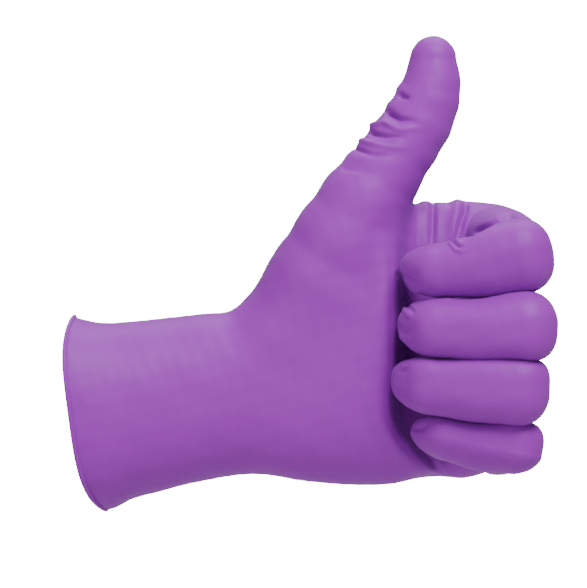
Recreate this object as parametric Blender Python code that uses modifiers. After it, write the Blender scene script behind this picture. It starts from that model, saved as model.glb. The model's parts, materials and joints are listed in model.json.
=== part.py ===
"""Disposable nitrile glove for a left hand, in the shape it takes on a thumbs-up fist.

The film is one dip-moulded skin with a rolled bead round its mouth. It is divided here at the
lines where a worn glove flexes: stiff film zones on the hand and on each length of finger, and
a flexing film zone in each bend. The glove is empty and open at the cuff.

Frame: metres, +X from the cuff to the knuckles, +Z towards the thumb, the palm faces -Y.
The origin is the centre of the cuff opening.
"""

import math

import bmesh
import bpy
from mathutils import Matrix, Quaternion, Vector

MM = 0.001

# the film
FILM = 0.40 * MM            # wall of the modelled film
GAP = 0.30 * MM             # between two film zones that meet
ROOT_GAP = 0.70 * MM        # between the hand's film and the finger roots
FINGER_GAP = 0.60 * MM      # each finger's film stands this much inside its share of the fist
RING_POINTS = 20            # points round a finger's film
HAND_POINTS = 28            # points round the hand's film
BONE_STEPS = 3              # lengths that the film's surface is made of along a bone
BEND_STEPS = 4              # in a bend
KNUCKLE_STEPS = 5           # in a finger's middle bend, which is the sharpest
TIP_STEPS = 4               # along a tip, and again over its rounded end
ROUND_POWER = 2.3           # outlines are superellipses: 2 is an ellipse, more is squarer
PALM_POWER = 3.4            # at the finger roots

# the cuff
CUFF_WIDTH = 55.6 * MM      # across the mouth, along Z
CUFF_DEPTH = 48.0 * MM      # through the mouth, along Y
SLEEVE_STEPS = 6            # lengths that the sleeve's surface is made of
CUFF_LEAN = 10.3            # degrees, the mouth leans over so that its lower edge is further in
CUFF_BOW = 6.0 * MM         # the mouth's palm side and back reach this much further out
CUFF_FLARE = 1.4            # power of the sleeve's widening towards its mouth, 1 is straight
BEAD_RADIUS = 1.15 * MM

# the wrist, where the glove is narrowest
WRIST_X = 45.7 * MM
WRIST_CENTRE_Z = 6.1 * MM
WRIST_WIDTH = 47.0 * MM
WRIST_DEPTH = 38.0 * MM
WRIST_ZONE = 18.0 * MM      # length of the flexing film at the wrist
WRIST_STEPS = 3

# the hand's film between the wrist and the finger roots
HAND_BOTTOM_Z = -20.6 * MM
HAND_TOP_Z = 61.0 * MM      # the forefinger's side of the hand
HAND_BACK_Y = 15.2 * MM
HAND_PALM_Y = -13.4 * MM
HAND_END_X = 107.5 * MM     # the finger roots' plane
HAND_RISE = 1.2             # power of the hand's widening towards the forefinger, 1 is straight
HAND_STEPS = 5
CUTTER_REACH = 1.0 * MM     # the hollows' cutters go this far past the film's open ends

# the thumb: its hinges, then half depths and half widths at base, knuckle, end joint and tip
THUMB_ROOT = Vector((54.7, -9.0, 24.6)) * MM
THUMB_LENGTHS = (37.0 * MM, 31.8 * MM, 28.0 * MM)
THUMB_BENDS = (32.4, 37.4, 14.0)        # degrees from upright, towards the fingers
THUMB_HALF_DEPTHS = (15.5 * MM, 12.2 * MM, 10.0 * MM, 6.8 * MM)
THUMB_HALF_WIDTHS = (13.0 * MM, 11.2 * MM, 10.2 * MM, 7.4 * MM)
THUMB_PAD = 2.2 * MM        # the thumb's pad stands out this much halfway along its end
# the slanting end of the hand's film at the thumb: how far past the root hinge it reaches on
# the fingers' side and on the nail's side; then the same for the stiff film past the knuckle
THUMB_OPENING = (34.0 * MM, 20.0 * MM)
THUMB_SHAFT_START = (7.0 * MM, -5.0 * MM)
MOUND_START = 6.0 * MM      # the ball of the thumb starts this far past the root hinge
MOUND_START_SHARE = 0.78    # and at this share of its full size
MOUND_STEPS = 4
WEB_STEPS = 3
THUMB_SETBACK = 3.2 * MM    # from the thumb's end hinge to the stiff film on each side of it

# the fingers. Each: root hinge, lean of its hinges along X and Y, lengths of its three bones,
# flexion at its three joints in degrees, half width at root, middle joint, end joint and tip
FINGERS = {
    "index": {
        "root": Vector((117.9, 3.0, 50.0)) * MM, "lean": (-0.190, -0.145),
        "lengths": (40.0 * MM, 24.0 * MM, 20.0 * MM), "flexion": (80.0, 110.0, 50.0),
        "half_widths": (10.1 * MM, 11.2 * MM, 7.9 * MM, 6.0 * MM),
    },
    "middle": {
        "root": Vector((118.8, 3.4, 26.4)) * MM, "lean": (0.030, -0.030),
        "lengths": (42.5 * MM, 25.0 * MM, 20.5 * MM), "flexion": (80.0, 110.0, 50.0),
        "half_widths": (9.8 * MM, 9.3 * MM, 8.3 * MM, 6.2 * MM),
    },
    "ring": {
        "root": Vector((115.5, 2.6, 7.8)) * MM, "lean": (0.075, -0.012),
        "lengths": (40.0 * MM, 24.5 * MM, 20.0 * MM), "flexion": (78.0, 111.0, 50.0),
        "half_widths": (9.4 * MM, 9.5 * MM, 8.3 * MM, 6.0 * MM),
    },
    "little": {
        "root": Vector((114.3, 0.6, -10.2)) * MM, "lean": (0.210, 0.037),
        "lengths": (33.0 * MM, 19.5 * MM, 18.0 * MM), "flexion": (74.0, 113.0, 48.0),
        "half_widths": (8.4 * MM, 8.0 * MM, 7.2 * MM, 5.4 * MM),
    },
}
# share of a half width that a finger's film stands out behind and in front of its hinges
BACK_SHARES = (1.16, 0.94, 0.94, 0.80)
PAD_SHARES = (0.88, 0.72, 0.78, 0.76)
BACK_SETBACK = 0.5 * MM     # stiff film behind a finger hinge stops this short of it
PAD_SETBACK = 1.2 * MM      # and in front of it, this short of the crease

NITRILE = (0.37, 0.11, 0.50, 1.0)
NITRILE_ROUGHNESS = 0.5


def start_scene():
    for old in list(bpy.data.objects):
        bpy.data.objects.remove(old, do_unlink=True)
    glove = bpy.data.collections.new("nitrile_glove")
    cutters = bpy.data.collections.new("cutters")
    for collection in (glove, cutters):
        bpy.context.scene.collection.children.link(collection)
    return glove, cutters


def nitrile():
    material = bpy.data.materials.new("purple_nitrile")
    material.use_nodes = True
    shader = material.node_tree.nodes["Principled BSDF"]
    shader.inputs["Base Color"].default_value = NITRILE
    shader.inputs["Roughness"].default_value = NITRILE_ROUGHNESS
    shader.inputs["Metallic"].default_value = 0.0
    material.diffuse_color = NITRILE
    return material


def mix(a, b, t):
    return a + (b - a) * t


def ring(front, back, side, half_width, points=RING_POINTS, power=ROUND_POWER):
    """A closed outline through front and back, rounded like a superellipse, in order round it."""
    centre, up = (front + back) / 2, (back - front) / 2
    outline = []
    for k in range(points):
        angle = 2 * math.pi * k / points
        across, along = math.cos(angle), math.sin(angle)
        across = math.copysign(abs(across) ** (2 / power), across)
        along = math.copysign(abs(along) ** (2 / power), along)
        outline.append(centre + side * half_width * across + up * along)
    return outline


def loft(name, rings, cap_start=False, cap_end=False):
    """A surface through rings of equal count. A cap closes an end on a point at its middle."""
    bm = bmesh.new()
    rows = [[bm.verts.new(point) for point in outline] for outline in rings]
    count = len(rows[0])
    for low, high in zip(rows, rows[1:]):
        for k in range(count):
            n = (k + 1) % count
            bm.faces.new((low[k], low[n], high[n], high[k]))
    for wanted, row in ((cap_start, rows[0]), (cap_end, rows[-1])):
        if wanted:
            middle = sum((v.co for v in row), Vector()) / count
            pole = bm.verts.new(middle)
            for k in range(count):
                bm.faces.new((row[k], row[(k + 1) % count], pole))
    bmesh.ops.recalc_face_normals(bm, faces=bm.faces)
    mesh = bpy.data.meshes.new(name)
    bm.to_mesh(mesh)
    bm.free()
    face_outwards(mesh)
    return bpy.data.objects.new(name, mesh)


def face_outwards(mesh):
    """Turns the faces of an open or closed tube away from its middle, if they face in."""
    middle = sum((v.co for v in mesh.vertices), Vector()) / len(mesh.vertices)
    facing = sum((f.center - middle).dot(f.normal) * f.area for f in mesh.polygons)
    if facing < 0:
        mesh.flip_normals()


def film_zone(name, rings, collection, material, origin, cap_end=False):
    """A stretch of film: the surface through the rings, with its wall inside it."""
    piece = loft(name, rings, cap_end=cap_end)
    piece.data.materials.append(material)
    wall = piece.modifiers.new("wall", "SOLIDIFY")
    wall.thickness = FILM
    wall.offset = -1
    wall.use_even_offset = True
    wall.use_rim = True
    piece.data.shade_smooth()
    set_origin(piece, origin)
    collection.objects.link(piece)
    return piece


def set_origin(piece, origin):
    """Puts a piece's origin on a joint's hinge, with its shape where it was."""
    piece.data.transform(Matrix.Translation(-origin))
    piece.location = origin


def plane_of_bending(lean):
    """Two unit directions that span a finger's plane of bending, and its hinges' direction."""
    hinge = Vector((lean[0], lean[1], 1.0)).normalized()
    turn = Vector((0, 0, 1)).rotation_difference(hinge).to_matrix()
    return turn @ Vector((1, 0, 0)), turn @ Vector((0, 1, 0)), hinge


def thumb_plane():
    """The thumb bends towards the fingers, in an upright plane."""
    return Vector((0, 0, 1)), Vector((-1, 0, 0)), Vector((0, -1, 0))


class Digit:
    """A finger or thumb: its hinges, the directions of its bones and its size at each hinge."""

    def __init__(self, name, root, plane, bends, lengths, widths, backs, pads):
        self.name = name
        self.reach, self.rise, self.hinge = plane
        self.bends = bends              # degrees of each bone in the plane of bending
        self.lengths = lengths
        self.widths, self.backs, self.pads = widths, backs, pads
        self.hinges = [root]
        for bend, length in zip(bends, lengths):
            self.hinges.append(self.hinges[-1] + self.along(bend) * length)

    def along(self, bend):
        angle = math.radians(bend)
        return self.reach * math.cos(angle) - self.rise * math.sin(angle)

    def behind(self, bend):
        angle = math.radians(bend)
        return self.reach * math.sin(angle) + self.rise * math.cos(angle)

    def setbacks(self, joint):
        """How far the stiff film stops short of a hinge, in front of it and behind it."""
        if self.name == "thumb":
            return THUMB_SETBACK, THUMB_SETBACK
        half = math.radians(self.bends[joint] - (self.bends[joint - 1] if joint else 0)) / 2
        return self.pads[joint] * math.tan(half) + PAD_SETBACK, BACK_SETBACK

    def edge(self, bone, joint, sign, extra=0.0):
        """Front and back points of a stiff film's end: bone's film, near joint, sign +1 after
        the hinge and -1 before it, extra further from the film's middle."""
        front_by, back_by = self.setbacks(joint)
        along, behind = self.along(self.bends[bone]), self.behind(self.bends[bone])
        at = self.hinges[joint]
        front = at + along * sign * (front_by - extra) - behind * self.pads[joint]
        back = at + along * sign * (back_by - extra) + behind * self.backs[joint]
        return front, back


def finger(name):
    size = FINGERS[name]
    first, second, third = size["flexion"]
    bends = (first, first + second, first + second + third)
    widths = [w - FINGER_GAP for w in size["half_widths"]]
    backs = [w * share for w, share in zip(size["half_widths"], BACK_SHARES)]
    pads = [w * share for w, share in zip(size["half_widths"], PAD_SHARES)]
    plane = plane_of_bending(size["lean"])
    return Digit(name, size["root"], plane, bends, size["lengths"], widths, backs, pads)


def thumb():
    return Digit("thumb", THUMB_ROOT, thumb_plane(), THUMB_BENDS, THUMB_LENGTHS,
                 list(THUMB_HALF_WIDTHS), list(THUMB_HALF_DEPTHS), list(THUMB_HALF_DEPTHS))


def bone_rings(digit, bone):
    """Rings of the stiff film along a bone, from one hinge's edge to the next one's."""
    first, last = digit.edge(bone, bone, +1), digit.edge(bone, bone + 1, -1)
    rings = []
    for k in range(BONE_STEPS + 1):
        t = k / BONE_STEPS
        width = mix(digit.widths[bone], digit.widths[bone + 1], t)
        rings.append(ring(mix(first[0], last[0], t), mix(first[1], last[1], t), digit.hinge, width))
    return rings


def tip_rings(digit, bone, pad=0.0):
    """Rings of the film at a digit's tip, which rounds over to a closed end. pad is how far the
    front stands out halfway along."""
    front, back = digit.edge(bone, bone, +1)
    along, behind = digit.along(digit.bends[bone]), digit.behind(digit.bends[bone])
    dome = digit.widths[-1]
    end_front = digit.hinges[-1] - behind * digit.pads[-1] - along * dome
    end_back = digit.hinges[-1] + behind * digit.backs[-1] - along * dome
    rings = []
    for k in range(TIP_STEPS + 1):
        t = k / TIP_STEPS
        width = mix(digit.widths[bone], digit.widths[-1], t)
        bulge = behind * pad * math.sin(math.pi * t)
        rings.append(ring(mix(front, end_front, t) - bulge, mix(back, end_back, t),
                          digit.hinge, width))
    centre = (end_front + end_back) / 2
    for k in range(1, TIP_STEPS):
        angle = math.pi / 2 * k / TIP_STEPS
        shift, share = along * dome * math.sin(angle), math.cos(angle)
        front = centre + (end_front - centre) * share + shift
        back = centre + (end_back - centre) * share + shift
        rings.append(ring(front, back, digit.hinge, digit.widths[-1] * share))
    return rings


def bend_rings(digit, joint, first=None, first_side=None, steps=BEND_STEPS):
    """Rings of the flexing film in a bend. Behind the hinge they fan out round it."""
    start = first or digit.edge(joint - 1, joint, -1, extra=GAP)
    end = digit.edge(joint, joint, +1, extra=GAP)
    at = digit.hinges[joint]
    from_start, from_end = start[1] - at, end[1] - at
    turn = from_start.rotation_difference(from_end)
    first_side = first_side or digit.hinge
    rings = []
    for k in range(steps + 1):
        t = k / steps
        spoke = from_start.copy()
        spoke.rotate(Quaternion().slerp(turn, t))
        spoke = spoke.normalized() * mix(from_start.length, from_end.length, t)
        side = mix(first_side, digit.hinge, t).normalized()
        rings.append(ring(mix(start[0], end[0], t), at + spoke, side, digit.widths[joint]))
    return rings


def sleeve_ring(t, points=HAND_POINTS):
    """An outline of the sleeve, from the mouth at 0 to the start of the wrist's film at 1. At the
    mouth it leans, and bows out between its upper and lower corners."""
    up = Matrix.Rotation(math.radians(-CUFF_LEAN * (1 - t)), 3, "Y") @ Vector((0, 0, 1))
    wrist_start = WRIST_X - WRIST_ZONE / 2
    centre = Vector((wrist_start * t, 0, WRIST_CENTRE_Z * t ** CUFF_FLARE))
    flare = (1 - t) ** CUFF_FLARE
    half_width = mix(WRIST_WIDTH, CUFF_WIDTH, flare) / 2
    across = Vector((0, mix(WRIST_DEPTH, CUFF_DEPTH, flare) / 2, 0))
    outline = ring(centre - across, centre + across, up, half_width, points)
    for point in outline:
        height = (point - centre).dot(up) / half_width
        point.x -= CUFF_BOW * (1 - t) * (1 - height * height)
    return outline


def wrist_ring(x, points=HAND_POINTS):
    centre = Vector((x, 0, WRIST_CENTRE_Z))
    half = Vector((0, WRIST_DEPTH / 2, 0))
    return ring(centre - half, centre + half, Vector((0, 0, 1)), WRIST_WIDTH / 2, points)


def add_cuff(collection, material):
    """The sleeve and the rolled bead round its mouth."""
    sleeve_start = (BEAD_RADIUS + FILM + 2 * GAP) / WRIST_X
    sleeve_end = 1 - GAP / WRIST_X
    rings = [sleeve_ring(mix(sleeve_start, sleeve_end, k / SLEEVE_STEPS))
             for k in range(SLEEVE_STEPS + 1)]
    film_zone("cuff_sleeve", rings, collection, material, Vector())

    path = bpy.data.curves.new("cuff_bead", "CURVE")
    path.dimensions = "3D"
    path.bevel_depth = BEAD_RADIUS
    path.bevel_resolution = 2
    spline = path.splines.new("POLY")
    outline = sleeve_ring(0)
    spline.points.add(len(outline) - 1)
    for point, place in zip(spline.points, outline):
        point.co = (*place, 1)
    spline.use_cyclic_u = True
    path.materials.append(material)
    bead = bpy.data.objects.new("cuff_bead", path)
    collection.objects.link(bead)


def add_wrist(collection, material):
    start, end = WRIST_X - WRIST_ZONE / 2, WRIST_X + WRIST_ZONE / 2
    rings = [sleeve_ring(1)] + [wrist_ring(mix(start, end, k / WRIST_STEPS))
                                for k in range(1, WRIST_STEPS + 1)]
    hinge = Vector((WRIST_X, 0, WRIST_CENTRE_Z))
    film_zone("wrist_flex_film", rings, collection, material, hinge)


def hand_rings(inset, over):
    """Outlines of the hand's film from the wrist to the finger roots. inset shrinks them, over
    carries both ends further."""
    start = WRIST_X + WRIST_ZONE / 2 + GAP
    wrist_bottom = WRIST_CENTRE_Z - WRIST_WIDTH / 2
    wrist_top = WRIST_CENTRE_Z + WRIST_WIDTH / 2
    rings = []
    for k in range(HAND_STEPS + 1):
        t = k / HAND_STEPS
        x = mix(start, HAND_END_X, t)
        x += over * (-1 if k == 0 else 1 if k == HAND_STEPS else 0)
        ease = math.sin(math.pi / 2 * t)
        bottom = mix(wrist_bottom, HAND_BOTTOM_Z, ease) + inset
        top = mix(wrist_top, HAND_TOP_Z, t ** HAND_RISE) - inset
        back = mix(WRIST_DEPTH / 2, HAND_BACK_Y, ease) - inset
        palm = mix(-WRIST_DEPTH / 2, HAND_PALM_Y, ease) + inset
        middle = (top + bottom) / 2
        power = mix(ROUND_POWER, PALM_POWER, t)
        rings.append(ring(Vector((x, palm, middle)), Vector((x, back, middle)),
                          Vector((0, 0, 1)), (top - bottom) / 2, HAND_POINTS, power))
    return rings


def thumb_ring(digit, front_at, back_at, inset=0.0, share=1.0):
    """An outline of the thumb's base that meets its two sides at two distances from the root."""
    along, behind = digit.along(digit.bends[0]), digit.behind(digit.bends[0])
    t = (front_at + back_at) / 2 / digit.lengths[0]
    depth = mix(digit.backs[0], digit.backs[1], t) * share - inset
    width = mix(digit.widths[0], digit.widths[1], t) * share - inset
    root = digit.hinges[0]
    return ring(root + along * front_at - behind * depth,
                root + along * back_at + behind * depth, digit.hinge, width)


def thumb_mound_rings(digit, inset, over):
    """Outlines of the ball of the thumb, from inside the hand to the thumb opening."""
    rings = []
    for k in range(MOUND_STEPS + 1):
        t = k / MOUND_STEPS
        front_at, back_at = (mix(MOUND_START - over, end + over, t) for end in THUMB_OPENING)
        share = mix(MOUND_START_SHARE, 1.0, math.sin(math.pi / 2 * t))
        rings.append(thumb_ring(digit, front_at, back_at, inset, share))
    return rings


def boolean(target, cutter, operation):
    step = target.modifiers.new(operation.lower(), "BOOLEAN")
    step.operation = operation
    step.object = cutter
    step.solver = "EXACT"


def add_cutter(name, rings, collection):
    cutter = loft(name, rings, cap_start=True, cap_end=True)
    cutter.hide_render = True
    cutter.display_type = "WIRE"
    collection.objects.link(cutter)
    return cutter


def add_hand(digit, collection, cutters, material):
    """The film over the palm, the back of the hand and the ball of the thumb, in one."""
    hand = loft("hand_film", hand_rings(0, 0), cap_start=True, cap_end=True)
    hand.data.materials.append(material)
    mound = add_cutter("thumb_mound", thumb_mound_rings(digit, 0, 0), cutters)
    boolean(hand, mound, "UNION")
    for name, rings in (("hand_hollow", hand_rings(FILM, CUTTER_REACH)),
                        ("mound_hollow", thumb_mound_rings(digit, FILM, CUTTER_REACH))):
        boolean(hand, add_cutter(name, rings, cutters), "DIFFERENCE")
    hand.data.shade_smooth()
    set_origin(hand, Vector((WRIST_X, 0, WRIST_CENTRE_Z)))
    collection.objects.link(hand)


def add_thumb(digit, collection, material):
    opening = [end + GAP for end in THUMB_OPENING]
    shaft = [digit.lengths[0] + end for end in THUMB_SHAFT_START]
    web = [thumb_ring(digit, mix(opening[0], shaft[0] - GAP, k / WEB_STEPS),
                      mix(opening[1], shaft[1] - GAP, k / WEB_STEPS))
           for k in range(WEB_STEPS + 1)]
    film_zone("thumb_web_film", web, collection, material, digit.hinges[1])

    shaft_rings = [thumb_ring(digit, *shaft)] + bone_rings(digit, 1)[1:]
    film_zone("thumb_shaft_film", shaft_rings, collection, material, digit.hinges[1])
    film_zone("thumb_end_joint_film", bend_rings(digit, 2), collection, material, digit.hinges[2])
    film_zone("thumb_tip_film", tip_rings(digit, 2, THUMB_PAD), collection, material,
              digit.hinges[2], cap_end=True)


def add_finger(digit, collection, material):
    """One finger: flexing film at its root, then stiff and flexing film in turn to its tip."""
    root = digit.hinges[0]
    start_x = HAND_END_X + ROOT_GAP
    start = (Vector((start_x, HAND_PALM_Y, root.z)), Vector((start_x, HAND_BACK_Y, root.z)))
    knuckle = bend_rings(digit, 0, start, Vector((0, 0, 1)))
    zones = (
        ("knuckle_film", knuckle, 0),
        ("lower_film", bone_rings(digit, 0), 0),
        ("middle_joint_film", bend_rings(digit, 1, steps=KNUCKLE_STEPS), 1),
        ("middle_film", bone_rings(digit, 1), 1),
        ("end_joint_film", bend_rings(digit, 2), 2),
        ("tip_film", tip_rings(digit, 2), 2),
    )
    for zone, rings, joint in zones:
        film_zone(f"{digit.name}_{zone}", rings, collection, material, digit.hinges[joint],
                  cap_end=zone == "tip_film")


def main():
    glove, cutters = start_scene()
    material = nitrile()
    thumb_digit = thumb()
    add_cuff(glove, material)
    add_wrist(glove, material)
    add_hand(thumb_digit, glove, cutters, material)
    add_thumb(thumb_digit, glove, material)
    for name in FINGERS:
        add_finger(finger(name), glove, material)


main()
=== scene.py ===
import json
import math

import bmesh
import bpy
import numpy as np
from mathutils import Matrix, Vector


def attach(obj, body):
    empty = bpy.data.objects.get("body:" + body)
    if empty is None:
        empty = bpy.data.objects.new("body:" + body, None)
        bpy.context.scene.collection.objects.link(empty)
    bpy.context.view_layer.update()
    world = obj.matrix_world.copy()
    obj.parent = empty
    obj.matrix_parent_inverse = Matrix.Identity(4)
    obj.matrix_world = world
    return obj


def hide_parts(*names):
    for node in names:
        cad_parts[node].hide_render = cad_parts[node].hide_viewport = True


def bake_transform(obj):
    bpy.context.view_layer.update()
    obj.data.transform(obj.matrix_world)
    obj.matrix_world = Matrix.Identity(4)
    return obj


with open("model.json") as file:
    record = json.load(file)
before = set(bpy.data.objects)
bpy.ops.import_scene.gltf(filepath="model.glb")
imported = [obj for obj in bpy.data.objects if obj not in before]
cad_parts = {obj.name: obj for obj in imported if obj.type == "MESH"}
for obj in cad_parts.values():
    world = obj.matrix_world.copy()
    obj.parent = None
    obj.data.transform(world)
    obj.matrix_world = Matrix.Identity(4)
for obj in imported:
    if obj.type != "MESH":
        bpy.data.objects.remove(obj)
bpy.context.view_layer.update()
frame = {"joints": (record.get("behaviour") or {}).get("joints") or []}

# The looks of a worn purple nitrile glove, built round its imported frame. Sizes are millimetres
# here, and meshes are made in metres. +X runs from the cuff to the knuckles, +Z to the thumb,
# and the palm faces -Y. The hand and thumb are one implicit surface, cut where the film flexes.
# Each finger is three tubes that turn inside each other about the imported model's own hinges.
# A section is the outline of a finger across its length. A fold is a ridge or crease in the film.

MM = 0.001

FILM = 0.35                 # wall of the film
BEAD = 0.68                 # radius of the rolled bead
CELL = 0.6                  # grid of the hand's implicit surface
RING = 144                  # points round a finger
RING_GAP = 0.45             # between a finger's rings
TIP_RINGS = 64              # rings of a fingertip, closer towards its end
CAP_TURN = 3                # degrees between the rings of a joint's cap
SLEEVE_POINTS = 220         # points round the sleeve
SLEEVE_RINGS = 70

# ---------------------------------------------------------------- the glove's outlines
# (x, value) knots: the sleeve's and palm's edges, palm side and back
TOP = [(-6, 28.4), (2, 26.4), (12, 26.8), (24, 28), (36, 29.2), (44, 29.6), (54, 32.8),
       (66, 42), (80, 53), (89, 58.4), (94, 60.6), (99.5, 62.0), (106, 61.3), (118, 60)]
BOTTOM = [(1, -28.7), (7, -28.2), (12, -25.8), (22, -22.9), (34, -20.1), (48, -18.2), (62, -20.1),
          (76, -21.3), (88, -21.0), (97, -19.0), (105, -16.4), (119, -15.6)]
PALM = [(-7, -24.5), (0, -24), (12, -21.5), (24, -19.8), (36.7, -19), (50, -19.5), (66, -21),
        (80, -22), (87.6, -21.6), (90, -19.0), (91.8, -13.6), (95, -10.5), (102, -9.5), (118, -9)]
# (z, shift) knots: how far the palm's steep edge beside the fingertips lies along x from its place
PALM_EDGE = [(-20, 13), (-16, 9.5), (-10, 4), (-4, 0), (4, -1.6), (12, -0.4), (24, 0)]
BACK = [(-7, 24.5), (0, 24), (12, 21.5), (24, 19.8), (36.7, 19), (50, 18.6), (66, 17.8),
        (85, 16.8), (105, 15.4), (118, 13)]
SQUARENESS = [(36, 2.3), (70, 2.6), (100, 3.0)]
SLEEVE_SQUARENESS = 2.3
SLEEVE_END = 33.4           # the sleeve stops here and the flexing wrist starts
WRIST_END = 47.0
KNUCKLES = 84.0             # the hand's film is two pieces, which meet here
HAND_END = 113.0            # the knuckles' flat end, and how far it is rounded into the sides
HAND_END_ROUNDING = 8.0
HAND_BOX = ((30, -36, -28), (133, 27, 113))   # the space that the hand and thumb are built in
PALM_EDGE_STARTS, PALM_EDGE_FULL = 60, 80   # where along x the palm's edge begins to shift
# the mouth: its x, how far its top leans back, its sides bow out and its low corner reaches in
MOUTH_X, MOUTH_LEAN, MOUTH_BOW, MOUTH_CORNER = -1.0, 3.9, 4.1, 1.6

# the knuckles: their squareness, and how far each lies inside its finger's film
KNUCKLE_SQUARENESS, KNUCKLE_INSET = 2.4, 0.15
# each finger's bone in the back of the hand: its start, which rises by a share of the height of
# the finger's hinge, its radius there, and how far from the hinge it ends
BONE_START, BONE_RISE, BONE_RADIUS = (62, 7, 4), 0.35, 10.5
BONE_END = (-6, 1.5, 0)
KNUCKLE_BLEND, THUMB_BLEND = 5.0, 7.0       # how softly they run into the hand

# the thumb's middle line: x, y, z and radius
THUMB = [(58.6, -3, 24, 15.6), (67.4, -6, 38, 15.7), (74.3, -8, 50, 14.8), (79.8, -9, 61, 12.8),
         (86.5, -9, 71, 10.7), (92.3, -9, 79.5, 9.9), (96.2, -9, 85.3, 9.5),
         (98.8, -9, 91.2, 8.9), (100.3, -9, 97, 7.8), (100.4, -9, 103.5, 6.8)]

# where the film flexes at the thumb: the crotch beside the index finger, then the direction and
# the distances between which it flexes: from the crotch at the web and knuckle, from the hinge
# at the end joint. The three bands never meet on the surface.
CROTCH = np.array([92, 0, 59.5])
THUMB_WEB = (np.array([-0.45, 0, 0.893]), (0.0, 9.5))
THUMB_KNUCKLE = (np.array([-0.148, 0, 0.989]), (13.7, 18.6))
THUMB_END = (np.array([-0.0995, 0, 0.995]), (-2.0, 11.5))

# ---------------------------------------------------------------- the fingers
# sizes at root, middle joint, end joint and tip: above and below the hinge line, behind and in
# front of it; then how far each side swells between the joints, the squareness above and below,
# and the length of the tip from its hinge
FINGERS = {
    "index": {"above": (11.0, 10.6, 7.4, 6.4), "below": (11.8, 10.8, 8.2, 7.0),
              "behind": (11.6, 9.1, 8.2, 7.0), "front": (9.5, 8.0, 6.6, 5.8),
              "swell": (0.4, 1.0, 0.3, 0.5), "square": (2.3, 2.3), "tip": 18.0},
    "middle": {"above": (10.0, 10.8, 7.8, 6.6), "below": (9.6, 9.4, 9.4, 7.2),
               "behind": (11.6, 9.3, 8.6, 7.2), "front": (9.0, 7.6, 6.8, 6.0),
               "swell": (-0.9, 0.4, 0.3, 0.5), "square": (2.2, 2.6), "tip": 18.5},
    "ring": {"above": (9.4, 9.9, 7.8, 6.8), "below": (9.2, 9.6, 8.6, 6.8),
             "behind": (11.0, 9.4, 8.2, 7.0), "front": (8.6, 7.3, 6.7, 6.0),
             "swell": (0.0, 0.6, 0.3, 0.5), "square": (3.6, 2.3), "tip": 18.5},
    "little": {"above": (9.2, 9.6, 6.2, 5.2), "below": (6.6, 6.3, 6.4, 5.4),
               "behind": (10.0, 8.0, 7.6, 6.2), "front": (7.6, 6.2, 5.8, 5.0),
               "swell": (-0.6, 1.0, 0.3, 0.4), "square": (3.2, 1.6), "tip": 16.5},
}
TIP_BEND = 50.0                             # degrees that a fingertip is bent at its end joint
TIP_FULLNESS, TIP_ROUNDNESS = 2.8, 2.2      # powers of the curve that closes a fingertip
LAST_RING = 0.9995                          # the share of a fingertip's length at its last ring
HALF_SIZES = np.array([1, 1, 1, 1, 0, 0])   # which of a section's six values are sizes
FOLDS_OUT, FOLDS_IN = 4.0, 3.0              # folds fade out before a finger joint and in after it

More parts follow.
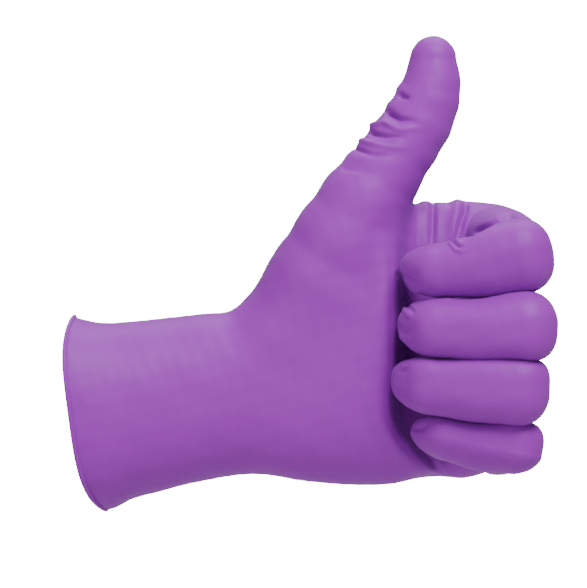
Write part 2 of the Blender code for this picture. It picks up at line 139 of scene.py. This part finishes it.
# ---------------------------------------------------------------- folds in the film
# (x, z) points along a fold, its half width, its height (negative for a crease) and the depths
# along y between which it shows. It fades in over FOLD_NEAR and out over FOLD_FAR, and along its
# points it loses FOLD_TAPER of its height.
FOLD_NEAR, FOLD_FAR, FOLD_TAPER = 4, 6, 0.85
FOLDS = [
    ([(90.4, 94.9), (93.0, 94.0)], 1.5, 0.45, (-24, 8)),
    ([(91.0, 92.5), (93.4, 91.6)], 0.7, -1.2, (-24, 8)),
    ([(87.8, 90.0), (91.0, 89.4)], 1.7, 0.5, (-24, 8)),
    ([(87.4, 87.5), (90.6, 85.6), (95.0, 84.8)], 0.8, -1.8, (-24, 8)),
    ([(83.0, 84.0), (86.0, 84.8), (90.2, 82.6), (96.0, 82.9)], 0.8, 1.0, (-24, 8)),
    ([(82.8, 83.0), (85.5, 82.6)], 1.4, 0.3, (-24, 8)),
    ([(82.6, 81.6), (86.5, 80.5), (92.0, 80.2)], 0.7, -1.3, (-24, 8)),
    ([(79.4, 79.6), (83.0, 78.4), (87.5, 77.4), (92.5, 77.4)], 0.8, 0.8, (-24, 8)),
    ([(77.8, 77.2), (82.0, 75.4), (88.0, 74.8)], 0.7, -1.0, (-24, 8)),
    ([(75.2, 75.0), (79.0, 73.8), (85.0, 73.4)], 1.6, 0.45, (-24, 8)),
    ([(74.4, 71.4), (79.0, 70.4), (84.0, 70.2)], 0.9, -0.35, (-24, 8)),
    ([(98.2, 61.0), (97.6, 46)], 2.0, 0.6, (-18, 16)),
    ([(100.6, 61.0), (99.9, 46)], 0.9, -1.7, (-18, 16)),
    ([(108.0, 61.4), (106.8, 56.6), (105.4, 50.4)], 1.5, 0.9, (-24, 14)),
    ([(110.2, 60.4), (108.7, 56), (107.3, 50)], 0.8, -1.9, (-24, 14)),
    ([(107.6, 50.6), (112, 53.0), (118, 56.0), (123.4, 57.6)], 0.6, -1.6, (-52, -14)),
    ([(107.8, 47.4), (112, 50.0), (118, 53.4)], 1.2, 0.5, (-52, -20)),
    ([(119.6, 57.4), (122.4, 57.8), (124.8, 56.6)], 0.5, -1.3, (-52, -14)),
    ([(105.2, 50.4), (106.8, 48.4), (108.2, 48.0)], 0.5, -1.3, (-52, -14)),
    ([(104.6, 49.4), (106.2, 47.4), (108.0, 46.9)], 0.5, 0.8, (-52, -14)),
    ([(90.4, 35.0), (90.8, 31.6), (92.6, 28.8), (95.0, 27.0)], 0.7, 0.7, (-52, -22)),
    ([(91.6, 35.0), (92.0, 32.2), (93.8, 29.8), (96.4, 28.8)], 0.6, -0.9, (-52, -22)),
    ([(88.8, 33.6), (89.0, 29.0)], 0.6, -0.5, (-52, -22)),
    ([(89.6, 25.8), (91.6, 24.0), (94.6, 24.4)], 0.7, -0.7, (-52, -22)),
    ([(89.6, 22.8), (92.0, 21.4), (94.8, 22.0)], 0.7, 0.4, (-52, -22)),
    ([(103.2, 33.4), (105.8, 34.2)], 0.6, 0.6, (-52, -14)),
    ([(90.2, 40.4), (94.0, 38.4), (98.5, 39.0)], 0.8, -0.7, (-52, -14)),
    ([(91.6, 36.4), (95.4, 35.4), (99.4, 36.6)], 0.7, 0.6, (-52, -14)),
    ([(90.5, 12.5), (94.5, 13.6), (99.6, 12.8)], 0.9, -0.5, (-52, -14)),
    ([(97.0, 2.4), (100.6, 0.6), (106.0, -0.2)], 0.5, 0.5, (-52, -14)),
    ([(95.4, -4.2), (99.0, -3.0), (104.4, -4)], 0.8, -0.6, (-52, -14)),
    ([(102.6, -12.0), (104.0, -14.6), (105.4, -17.4)], 0.6, -1.2, (-24, 8)),
]


def curve(knots, x):
    """A smooth curve through (place, value) knots, level past its ends."""
    at, value = np.array(knots, float).T
    slope = np.gradient(value, at)
    x = np.clip(x, at[0], at[-1])
    i = np.clip(np.searchsorted(at, x, side="right") - 1, 0, len(at) - 2)
    gap = at[i + 1] - at[i]
    t = (x - at[i]) / gap
    return ((1 + 2 * t) * (1 - t) ** 2 * value[i] + t * (1 - t) ** 2 * gap * slope[i]
            + t * t * (3 - 2 * t) * value[i + 1] + t * t * (t - 1) * gap * slope[i + 1])


def smoothstep(low, high, x):
    t = np.clip((x - low) / (high - low), 0, 1)
    return t * t * (3 - 2 * t)


def unit(v):
    return v / np.maximum(np.linalg.norm(v, axis=-1, keepdims=True), 1e-12)


# ---------------------------------------------------------------- the implicit hand
def joined(a, b, softness):
    """The union of two fields, rounded where they meet."""
    overlap = np.maximum(softness - np.abs(a - b), 0) / softness
    return np.minimum(a, b) - overlap * overlap * softness / 4


def limb(p, knots, softness=2.0):
    """Distance to a chain of tapered round lengths."""
    found = None
    for (ax, ay, az, ra), (bx, by, bz, rb) in zip(knots, knots[1:]):
        a, b = np.array([ax, ay, az]), np.array([bx, by, bz])
        length = np.linalg.norm(b - a)
        taper = (rb - ra) / length
        t = (p - a) @ (b - a) / length ** 2
        out = np.linalg.norm(p - a - t[..., None] * (b - a), axis=-1)
        t = np.clip(t + taper * out / (length * math.sqrt(1 - taper ** 2)), 0, 1)
        d = np.linalg.norm(p - a - t[..., None] * (b - a), axis=-1) - (ra + (rb - ra) * t)
        found = d if found is None else joined(found, d, softness)
    return found


def rounded(u, v, power, size_u, size_v):
    """Distance to an outline rounded like a superellipse, from its two half sizes."""
    a, b = np.abs(u) / size_u, np.abs(v) / size_v
    r = np.maximum((a ** power + b ** power) ** (1 / power), 1e-3)
    slope = np.hypot((a / r) ** (power - 1) / size_u, (b / r) ** (power - 1) / size_v)
    return np.maximum((r - 1) / np.maximum(slope, 1e-3), -np.minimum(size_u, size_v))


def palm_field(p):
    """Distance to the wrist, palm and back of the hand, without thumb or knuckles."""
    x, y, z = p[..., 0], p[..., 1], p[..., 2]
    top, bottom, back = (curve(knots, x) for knots in (TOP, BOTTOM, BACK))
    shift = curve(PALM_EDGE, z) * smoothstep(PALM_EDGE_STARTS, PALM_EDGE_FULL, x)
    front = curve(PALM, x - shift)
    d = rounded(y - (front + back) / 2, z - (top + bottom) / 2, curve(SQUARENESS, x),
                (back - front) / 2, (top - bottom) / 2)
    return -joined(-d, -(x - HAND_END), HAND_END_ROUNDING)


def hand_field(p):
    """Distance to the glove's hand and thumb, negative inside."""
    d = palm_field(p)
    for name, finger in FINGERS.items():
        root, hinge = hinge_of(f"{name}_root_bend")
        across = (p - root) @ hinge
        out = np.linalg.norm(p - root - across[..., None] * hinge, axis=-1)
        width = np.where(across > 0, finger["above"][0], finger["below"][0])
        knuckle = rounded(across, out, KNUCKLE_SQUARENESS, width - KNUCKLE_INSET,
                          finger["behind"][0] - KNUCKLE_INSET)
        start = np.add(BONE_START, (0, 0, BONE_RISE * root[2]))
        bone = [(*start, BONE_RADIUS), (*(root + BONE_END), finger["above"][0])]
        d = joined(d, joined(knuckle, limb(p, bone), KNUCKLE_BLEND), KNUCKLE_BLEND)
    return joined(d, limb(p, THUMB), THUMB_BLEND)


def slope_of(field, p, reach=0.05):
    """How steeply a field rises along x, y and z at each point."""
    steps = np.eye(3) * reach
    return np.stack([(field(p + s) - field(p - s)) / (2 * reach) for s in steps], -1)


def polygonise(values, low, cell):
    """Points and triangles of a grid's zero surface, with one point in each cell it crosses."""
    inside = values < 0
    corners = sum(inside[tuple(slice(c, n - 1 + c) for c, n in zip(corner, inside.shape))]
                  .astype(np.int8) for corner in np.ndindex(2, 2, 2))
    crossed = (corners > 0) & (corners < 8)
    index = np.full(crossed.shape, -1)
    index[crossed] = np.arange(crossed.sum())
    points = low + (np.argwhere(crossed) + 0.5) * cell
    quads = []
    axes = np.eye(3, dtype=int)
    for k in range(3):
        ends = [inside[tuple(part if a == k else slice(1, -1) for a in range(3))]
                for part in (slice(0, -1), slice(1, None))]
        spots = np.argwhere(ends[0] != ends[1])
        outwards = ends[0][tuple(spots.T)]
        spots = spots + 1 - axes[k]
        b, c = axes[(k + 1) % 3], axes[(k + 2) % 3]
        quad = np.stack([index[tuple((spots - shift).T)] for shift in (b + c, c, 0 * b, b)], 1)
        quad[~outwards] = quad[~outwards][:, ::-1]
        quads.append(quad)
    quads = np.concatenate(quads)
    return points, np.concatenate((quads[:, [0, 1, 2]], quads[:, [0, 2, 3]]))


def settle(points, triangles, field, rounds=4):
    """Evens out the points and puts them on the field's surface."""
    a, b = triangles[:, [0, 1, 2]].ravel(), triangles[:, [1, 2, 0]].ravel()
    count = np.bincount(a, minlength=len(points))[:, None]
    for k in range(rounds):
        if k < rounds - 1:
            mean = np.stack([np.bincount(a, points[b, i], len(points)) for i in range(3)], 1)
            points = points + 0.5 * (mean / count - points)
        slope = slope_of(field, points)
        points = points - slope * (field(points) / (slope * slope).sum(1))[:, None]
    return points


# ---------------------------------------------------------------- film
def mesh_normals(points, triangles):
    """Outward normals at a mesh's points, weighted by the area of the triangles round them."""
    a, b, c = (points[triangles[:, k]] for k in range(3))
    face = np.cross(b - a, c - a)
    total = np.stack([np.bincount(triangles.ravel(), np.repeat(face[:, i], 3), len(points))
                      for i in range(3)], 1)
    return unit(total)


def relief(p, folded):
    """How far the film stands out at each point: its slight unevenness, and its folds as far as
    folded (0 to 1) lets them show there."""
    x, y, z = p.T
    # two uneven waves, 0.10 and 0.05 high
    height = (0.10 * np.sin(0.31 * x + 0.23 * z + 1.0) * np.sin(0.27 * z - 0.19 * y + 2.0)
              + 0.05 * np.sin(0.83 * x - 0.41 * z) * np.sin(0.77 * z + 0.52 * x + 0.4 * y))
    for path, width, depth, (near, far) in FOLDS:
        path = np.array(path, float)
        nearest, run = np.full(len(p), np.inf), np.zeros(len(p))
        for k in range(len(path) - 1):
            a, b = path[k], path[k + 1]
            t = (p[:, [0, 2]] - a) @ (b - a) / ((b - a) @ (b - a))
            d = np.linalg.norm(p[:, [0, 2]] - a - np.clip(t, 0, 1)[:, None] * (b - a), axis=1)
            run = np.where(d < nearest, (k + np.clip(t, 0, 1)) / (len(path) - 1), run)
            nearest = np.minimum(nearest, d)
        shown = (smoothstep(near, near + FOLD_NEAR, y)
                 * (1 - smoothstep(far - FOLD_FAR, far, y)))
        height += (folded * depth * np.exp(-(nearest / width) ** 2) * shown
                   * (1 - FOLD_TAPER * run ** 2))
    return height


def film(name, points, triangles, normals, folded=1.0):
    """A thin closed wall: the surface with its relief, a copy set inwards and rims between."""
    before = mesh_normals(points, triangles)
    points = points + normals * relief(points, folded)[:, None]
    normals = unit(normals + mesh_normals(points, triangles) - before)
    count = len(points)
    a, b = triangles.ravel(), triangles[:, [1, 2, 0]].ravel()
    edge_open = ~np.isin(a * count + b, b * count + a)
    a, b = a[edge_open], b[edge_open]
    rims = np.concatenate((np.stack((b, a, a + count), 1), np.stack((b, a + count, b + count), 1)))
    faces = np.concatenate((triangles, triangles[:, ::-1] + count, rims))
    points = np.concatenate((points, points - normals * FILM))
    p, q, r = (points[rims[:, k]] for k in range(3))
    rim_normals = np.repeat(unit(np.cross(q - p, r - p)), 3, axis=0)
    both = np.concatenate((normals, -normals))
    corners = np.concatenate((both[faces[:len(triangles) * 2].ravel()], rim_normals))
    mesh = bpy.data.meshes.new(name)
    mesh.from_pydata((points * MM).tolist(), [], faces.tolist())
    mesh.shade_smooth()
    mesh.normals_split_custom_set(corners.tolist())
    return show(name, mesh)


def show(name, mesh):
    """A piece of the glove from its mesh, in nitrile."""
    mesh.materials.clear()
    mesh.materials.append(NITRILE)
    piece = bpy.data.objects.new(name, mesh)
    bpy.context.scene.collection.objects.link(piece)
    return piece


def grid_triangles(rows, columns):
    """Triangles between rings of points that all have the same count."""
    turn = np.arange(columns)
    low = (np.arange(rows - 1)[:, None] * columns + turn).ravel()
    next_low = (np.arange(rows - 1)[:, None] * columns + (turn + 1) % columns).ravel()
    return np.concatenate((np.stack((low, next_low + columns, next_low), 1),
                           np.stack((low, low + columns, next_low + columns), 1)))


# ---------------------------------------------------------------- joints
def hinge_of(joint):
    """A joint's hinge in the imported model: its place in millimetres and its direction."""
    found = next(j for j in frame["joints"] if j["name"] == joint)
    return np.array(found["pos_m"]) / MM, unit(np.array(found["axis"], float))


def turned(v, axis, degrees):
    """A direction square to an axis, turned about it."""
    angle = math.radians(degrees)
    return v * math.cos(angle) + np.cross(axis, v) * math.sin(angle)


# ---------------------------------------------------------------- nitrile
def nitrile():
    """Soft matte purple film: slightly uneven colour and sheen, and a fine skin texture."""
    material = bpy.data.materials.new("purple_nitrile")
    material.use_nodes = True
    nodes, links = material.node_tree.nodes, material.node_tree.links
    shader = nodes["Principled BSDF"]
    place = nodes.new("ShaderNodeTexCoord").outputs["Object"]

    def noise(scale, detail):
        node = nodes.new("ShaderNodeTexNoise")
        node.inputs["Scale"].default_value = scale
        node.inputs["Detail"].default_value = detail
        links.new(place, node.inputs["Vector"])
        return node.outputs["Fac"]

    tint = nodes.new("ShaderNodeMix")
    tint.data_type = "RGBA"
    tint.inputs["A"].default_value = (0.264, 0.016, 0.395, 1)
    tint.inputs["B"].default_value = (0.312, 0.021, 0.460, 1)
    links.new(noise(45, 3), tint.inputs["Factor"])
    links.new(tint.outputs["Result"], shader.inputs["Base Color"])
    rough = nodes.new("ShaderNodeMapRange")
    rough.inputs["To Min"].default_value = 0.46
    rough.inputs["To Max"].default_value = 0.58
    links.new(noise(120, 2), rough.inputs["Value"])
    links.new(rough.outputs["Result"], shader.inputs["Roughness"])
    bump = nodes.new("ShaderNodeBump")
    bump.inputs["Strength"].default_value = 0.25
    bump.inputs["Distance"].default_value = 0.00006
    links.new(noise(2600, 2), bump.inputs["Height"])
    links.new(bump.outputs["Normal"], shader.inputs["Normal"])
    shader.inputs["Specular IOR Level"].default_value = 0.24
    shader.inputs["Sheen Weight"].default_value = 0.05
    shader.inputs["Sheen Roughness"].default_value = 0.5
    return material


# ---------------------------------------------------------------- the pieces
def section(above, below, behind, front, square_above, square_below):
    """A ring's points across (along the hinge) and out (behind), and its outward normals."""
    angle = 2 * math.pi * np.arange(RING) / RING
    c, s = np.cos(angle), np.sin(angle)
    a, b = np.where(c > 0, above, below), np.where(s >= 0, behind, front)
    power = np.where(c > 0, square_above, square_below)
    r = ((np.abs(c) / a) ** power + (np.abs(s) / b) ** power) ** (-1 / power)
    across, out = r * c, r * s
    lean = np.stack((np.sign(c) * np.abs(across / a) ** (power - 1) / a,
                     np.sign(s) * np.abs(out / b) ** (power - 1) / b), 1)
    return across, out, unit(lean)


def tube(at, along, hinge, stations, sizes):
    """Rows of points and normals along a bone. sizes gives a section's values at a station."""
    behind = np.cross(hinge, along)
    rows = []
    for s in stations:
        across, out, _ = section(*sizes(s))
        rows.append(at + along * s + np.outer(across, hinge) + np.outer(out, behind))
    rows = np.array(rows)
    normals = mesh_normals(rows.reshape(-1, 3), grid_triangles(len(rows), RING))
    return rows, normals.reshape(rows.shape)


def hinge_row(hinge, behind, size):
    """A section's points round a hinge, and its outward normals."""
    across, out, lean = section(*size)
    return (np.outer(across, hinge) + np.outer(out, behind),
            np.outer(lean[:, 0], hinge) + np.outer(lean[:, 1], behind))


def finger_piece(name, at, along, hinge, length, start, end, swell, bend):
    """A length of finger from its own hinge to the next, and a cap round the next hinge's back
    that the next length turns inside."""
    behind = np.cross(hinge, along)
    stations = np.linspace(0, length, int(length / RING_GAP))
    rows, normals = tube(at, along, hinge, stations, lambda s: (
        start + (end - start) * smoothstep(0, length, s)
        + swell * math.sin(math.pi * s / length) ** 2))
    for k, size in ((0, start), (-1, end)):
        normals[k] = hinge_row(hinge, behind, size)[1]
    triangles = grid_triangles(len(rows), RING)
    points, normals = rows.reshape(-1, 3), normals.reshape(-1, 3)
    centre = at + along * length
    half = RING // 2 + 1
    turns = np.linspace(0, bend, int(bend / CAP_TURN))[1:]
    fan, fan_normals = [], []
    for turn in turns:
        place, lean = hinge_row(hinge, turned(behind, hinge, -turn), end)
        fan.append((centre + place)[:half])
        fan_normals.append(lean[:half])
    first = np.arange(half) + len(points) - RING
    later = len(points) + np.arange(len(turns) * half).reshape(len(turns), half)
    index = np.vstack((first, later))
    quads = np.stack((index[:-1, :-1], index[1:, :-1], index[1:, 1:], index[:-1, 1:]), -1)
    quads = quads.reshape(-1, 4)
    triangles = np.concatenate((triangles, quads[:, [0, 1, 2]], quads[:, [0, 2, 3]]))
    points = np.concatenate((points, np.concatenate(fan)))
    normals = np.concatenate((normals, np.concatenate(fan_normals)))
    folded = np.zeros(len(points))
    folded[:len(stations) * RING] = np.repeat(
        1 - smoothstep(length - FOLDS_OUT, length, stations), RING)
    return film(name, points, triangles, normals, folded)


def finger_tip(name, at, along, hinge, length, start, end):
    """The last length of finger, rounded over to a closed end."""
    behind = np.cross(hinge, along)
    share = np.sin(np.linspace(0, 1, TIP_RINGS) * math.pi / 2) * LAST_RING

    def sizes(s):
        u = s / length
        close = (1 - u ** TIP_FULLNESS) ** (1 / TIP_ROUNDNESS)
        return (start + (end - start) * smoothstep(0, 1, u)) * (1 - HALF_SIZES * (1 - close))

    rows, normals = tube(at, along, hinge, share * length, sizes)
    normals[0] = hinge_row(hinge, behind, start)[1]
    triangles = grid_triangles(len(rows), RING)
    points, normals = rows.reshape(-1, 3), normals.reshape(-1, 3)
    last = len(points) - RING + np.arange(RING)
    cap = np.stack((np.roll(last, -1), last, np.full(RING, len(points))), 1)
    points = np.vstack((points, at + along * length))
    normals = np.vstack((normals, along))
    folded = np.append(np.repeat(smoothstep(0, FOLDS_IN, share * length), RING), 0)
    return film(name, points, np.concatenate((triangles, cap)), normals, folded)


def add_finger(name, size):
    """A finger's three lengths, each on its own body."""
    root, hinge = hinge_of(f"{name}_root_bend")
    middle, _ = hinge_of(f"{name}_middle_bend")
    end, _ = hinge_of(f"{name}_end_bend")
    rings = [np.array((*ring, *size["square"]))
             for ring in zip(size["above"], size["below"], size["behind"], size["front"])]
    swell = np.array((*size["swell"], 0, 0))
    bones = [middle - root, end - middle]
    lengths = [np.linalg.norm(bone) for bone in bones]
    first, second = (unit(bone) for bone in bones)
    bend = math.degrees(math.acos(first @ second))
    third = turned(second, hinge, -TIP_BEND)
    lower = finger_piece(f"{name}_lower_skin", root, first, hinge, lengths[0], rings[0], rings[1],
                         swell, bend)
    mid = finger_piece(f"{name}_middle_skin", middle, second, hinge, lengths[1], rings[1], rings[2],
                       swell, TIP_BEND)
    tip = finger_tip(f"{name}_tip_skin", end, third, hinge, size["tip"], rings[2], rings[3])
    for piece, body, nodes in ((lower, "lower", ("knuckle_film", "lower_film")),
                               (mid, "middle", ("middle_joint_film", "middle_film")),
                               (tip, "tip", ("end_joint_film", "tip_film"))):
        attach(piece, f"{name}_{body}")
        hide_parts(*(f"{name}_{node}" for node in nodes))


def sleeve_row(share):
    """An outline of the sleeve, from the mouth at 0 to the wrist's flexing film at 1."""
    angle = 2 * math.pi * np.arange(SLEEVE_POINTS) / SLEEVE_POINTS
    c, s = np.cos(angle), np.sin(angle)
    r = (np.abs(c) ** SLEEVE_SQUARENESS + np.abs(s) ** SLEEVE_SQUARENESS) ** (
        -1 / SLEEVE_SQUARENESS)
    across, high = r * c, r * s
    x = MOUTH_X + (SLEEVE_END - MOUTH_X) * share
    x = x - (1 - share) * (MOUTH_LEAN * high + MOUTH_BOW * (1 - high ** 4)
                           - MOUTH_CORNER * np.maximum(-high, 0) ** 12)
    top, bottom, front, back = (curve(knots, x) for knots in (TOP, BOTTOM, PALM, BACK))
    y = (front + back) / 2 + (back - front) / 2 * across
    z = (top + bottom) / 2 + (top - bottom) / 2 * high
    return np.stack((x, y, z), 1)


def add_sleeve():
    """The sleeve, from the bead to the flexing wrist."""
    rows = np.array([sleeve_row(share) for share in np.linspace(0, 1, SLEEVE_RINGS)])
    triangles = grid_triangles(*rows.shape[:2])[:, ::-1]
    points = rows.reshape(-1, 3)
    sleeve = film("cuff_sleeve_skin", points, triangles, mesh_normals(points, triangles))
    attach(sleeve, "cuff")
    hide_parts("cuff_sleeve")


def add_bead():
    """The rolled bead, swept round the mouth by geometry nodes."""
    mouth = sleeve_row(0) * MM
    path = bpy.data.curves.new("cuff_bead_path", "CURVE")
    path.dimensions = "3D"
    line = path.splines.new("POLY")
    line.points.add(len(mouth) - 1)
    line.points.foreach_set("co", np.column_stack((mouth, np.ones(len(mouth)))).ravel())
    line.use_cyclic_u = True
    owner = bpy.data.objects.new("cuff_bead_path", path)
    bpy.context.scene.collection.objects.link(owner)
    tree = bpy.data.node_groups.new("rolled_bead", "GeometryNodeTree")
    tree.interface.new_socket("Geometry", in_out="INPUT", socket_type="NodeSocketGeometry")
    size = tree.interface.new_socket("Radius", in_out="INPUT", socket_type="NodeSocketFloat")
    tree.interface.new_socket("Geometry", in_out="OUTPUT", socket_type="NodeSocketGeometry")
    nodes, links = tree.nodes, tree.links
    source, result = nodes.new("NodeGroupInput"), nodes.new("NodeGroupOutput")
    ring = nodes.new("GeometryNodeCurvePrimitiveCircle")
    ring.inputs["Resolution"].default_value = 16
    sweep = nodes.new("GeometryNodeCurveToMesh")
    real, paint = nodes.new("GeometryNodeRealizeInstances"), nodes.new("GeometryNodeSetMaterial")
    paint.inputs["Material"].default_value = NITRILE
    links.new(source.outputs["Geometry"], sweep.inputs["Curve"])
    links.new(source.outputs["Radius"], ring.inputs["Radius"])
    links.new(ring.outputs["Curve"], sweep.inputs["Profile Curve"])
    links.new(sweep.outputs["Mesh"], real.inputs["Geometry"])
    links.new(real.outputs["Geometry"], paint.inputs["Geometry"])
    links.new(paint.outputs["Geometry"], result.inputs["Geometry"])
    roll = owner.modifiers.new("roll", "NODES")
    roll.node_group = tree
    roll[size.identifier] = BEAD * MM
    evaluated = owner.evaluated_get(bpy.context.evaluated_depsgraph_get())
    mesh = bpy.data.meshes.new_from_object(evaluated)
    bpy.data.objects.remove(owner)
    mesh.shade_smooth()
    bead = show("cuff_bead_roll", mesh)
    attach(bead, "cuff")
    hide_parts("cuff_bead")


def cut(points, triangles, planes):
    """The mesh with new edges wherever it crosses a plane."""
    mesh = bpy.data.meshes.new("cut")
    mesh.from_pydata(points.tolist(), [], triangles.tolist())
    bm = bmesh.new()
    bm.from_mesh(mesh)
    for place, direction in planes:
        bmesh.ops.bisect_plane(bm, geom=bm.verts[:] + bm.edges[:] + bm.faces[:], dist=1e-4,
                               plane_co=place, plane_no=direction)
    bmesh.ops.triangulate(bm, faces=bm.faces)
    bm.to_mesh(mesh)
    bm.free()
    points = np.zeros(len(mesh.vertices) * 3)
    mesh.vertices.foreach_get("co", points)
    corners = np.zeros(len(mesh.loops), np.int32)
    mesh.loops.foreach_get("vertex_index", corners)
    bpy.data.meshes.remove(mesh)
    return points.reshape(-1, 3), corners.reshape(-1, 3).astype(np.int64)


def add_hand():
    """The wrist, hand and thumb: one surface, cut into pieces; some ride on a body, and the bands
    between them stay where they are.
    """
    low, high = np.array(HAND_BOX, float)
    counts = ((high - low) / CELL).astype(int)
    axes = [low[k] + CELL * np.arange(counts[k]) for k in range(3)]
    grid = np.stack(np.meshgrid(*axes, indexing="ij"), -1)
    values = np.stack([hand_field(slab) for slab in grid])
    points, triangles = polygonise(values, low, CELL)
    points = settle(points, triangles, hand_field)
    web_along, (web, base) = THUMB_WEB
    knuckle_along, (knuckle, shaft) = THUMB_KNUCKLE
    end_at, _ = hinge_of("thumb_end_bend")
    end_along, (end_start, end_stop) = THUMB_END
    right = np.array([1.0, 0, 0])
    planes = [(right * at, right) for at in (SLEEVE_END, WRIST_END, KNUCKLES)]
    planes += [(CROTCH + web_along * d, web_along) for d in (web, base)]
    planes += [(CROTCH + knuckle_along * shaft, knuckle_along)]
    planes += [(end_at + end_along * d, end_along) for d in (end_start, end_stop)]
    points, triangles = cut(points, triangles, planes)
    normals = unit(slope_of(hand_field, points))
    middle = points[triangles].mean(1)
    x, up = middle[:, 0], (middle - CROTCH) @ web_along
    out, end = (middle - CROTCH) @ knuckle_along, (middle - end_at) @ end_along
    regions = [
        ("wrist_skin", (x > SLEEVE_END) & (x < WRIST_END), ("wrist_flex_film",)),
        ("hand_skin", (x > WRIST_END) & (x < KNUCKLES) & (up < web), ("hand_film",)),
        ("knuckles_skin", (x > KNUCKLES) & (up < web), ()),
        ("thumb_web_skin", (x > WRIST_END) & (up > web) & (up < base), ()),
        ("thumb_base_skin", (up > base) & (out < shaft), ("thumb_web_film",)),
        ("thumb_shaft_skin", (out > shaft) & (end < end_start), ("thumb_shaft_film",)),
        ("thumb_joint_skin", (out > shaft) & (end > end_start) & (end < end_stop),
         ("thumb_end_joint_film",)),
        ("thumb_tip_skin", (out > shaft) & (end > end_stop), ("thumb_tip_film",)),
    ]
    made = {}
    for name, chosen, nodes in regions:
        used, index = np.unique(triangles[chosen], return_inverse=True)
        piece = film(name, points[used], index.reshape(-1, 3), normals[used])
        made[name] = piece
        if nodes:
            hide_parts(*nodes)

    def band(name):
        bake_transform(made[name])

    band("wrist_skin")
    band("thumb_web_skin")
    band("thumb_base_skin")
    band("thumb_joint_skin")
    for name, body in (("hand_skin", "hand"), ("knuckles_skin", "hand"),
                       ("thumb_shaft_skin", "thumb_shaft"), ("thumb_tip_skin", "thumb_tip")):
        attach(made[name], body)


# ---------------------------------------------------------------- studio, in metres
def area_light(name, place, target, size, power):
    data = bpy.data.lights.new(name, "AREA")
    data.shape = "SQUARE"
    data.size = size
    data.energy = power
    light = bpy.data.objects.new(name, data)
    light.location = place
    aim(light, target)
    bpy.context.scene.collection.objects.link(light)


def aim(thing, target):
    """Turns a light to face a place."""
    thing.rotation_euler = (Vector(target) - thing.location).to_track_quat("-Z", "Y").to_euler()


def white_to_camera(tree, shader_input, seen, lit):
    """Gives a strength one value for camera rays and another for the light it casts."""
    path = tree.nodes.new("ShaderNodeLightPath")
    strength = tree.nodes.new("ShaderNodeMapRange")
    strength.inputs["To Min"].default_value = lit
    strength.inputs["To Max"].default_value = seen
    tree.links.new(path.outputs["Is Camera Ray"], strength.inputs["Value"])
    tree.links.new(strength.outputs["Result"], shader_input)


def studio():
    """A pale floor and background, and three soft lights."""
    world = bpy.data.worlds.new("studio")
    world.use_nodes = True
    background = world.node_tree.nodes["Background"]
    background.inputs["Color"].default_value = (1, 1, 1, 1)
    white_to_camera(world.node_tree, background.inputs["Strength"], seen=18.0, lit=0.29)
    bpy.context.scene.world = world
    floor_mesh = bpy.data.meshes.new("floor")
    floor_mesh.from_pydata([(-9, -3, -0.16), (9, -3, -0.16), (9, 12, -0.16), (-9, 12, -0.16)], [],
                           [(0, 1, 2, 3)])
    floor = bpy.data.objects.new("floor", floor_mesh)
    pale = bpy.data.materials.new("pale_floor")
    pale.use_nodes = True
    shader = pale.node_tree.nodes["Principled BSDF"]
    shader.inputs["Base Color"].default_value = (0.58, 0.58, 0.58, 1)
    shader.inputs["Roughness"].default_value = 0.8
    shader.inputs["Emission Color"].default_value = (1, 1, 1, 1)
    white_to_camera(pale.node_tree, shader.inputs["Emission Strength"], seen=17.5, lit=0.0)
    floor_mesh.materials.append(pale)
    bpy.context.scene.collection.objects.link(floor)
    target = (0.07, 0, 0.03)
    area_light("key_light", (0.35, -0.65, 0.80), target, 0.5, 13.6)
    area_light("fill_light", (-0.7, -0.8, 0.25), target, 0.8, 3.5)
    area_light("top_light", (0.1, 0.3, 0.9), target, 0.7, 5)


def camera():
    """A long lens, square on to the palm."""
    data = bpy.data.cameras.new("camera")
    data.lens = 300
    data.clip_end = 20
    view = bpy.data.objects.new("camera", data)
    view.location = (0.0596, -1.443, 0.0348)
    view.rotation_euler = (math.pi / 2, 0, 0)
    bpy.context.scene.collection.objects.link(view)
    bpy.context.scene.camera = view


NITRILE = nitrile()
camera()
studio()
add_sleeve()
add_bead()
add_hand()
for finger_name, finger_size in FINGERS.items():
    add_finger(finger_name, finger_size)
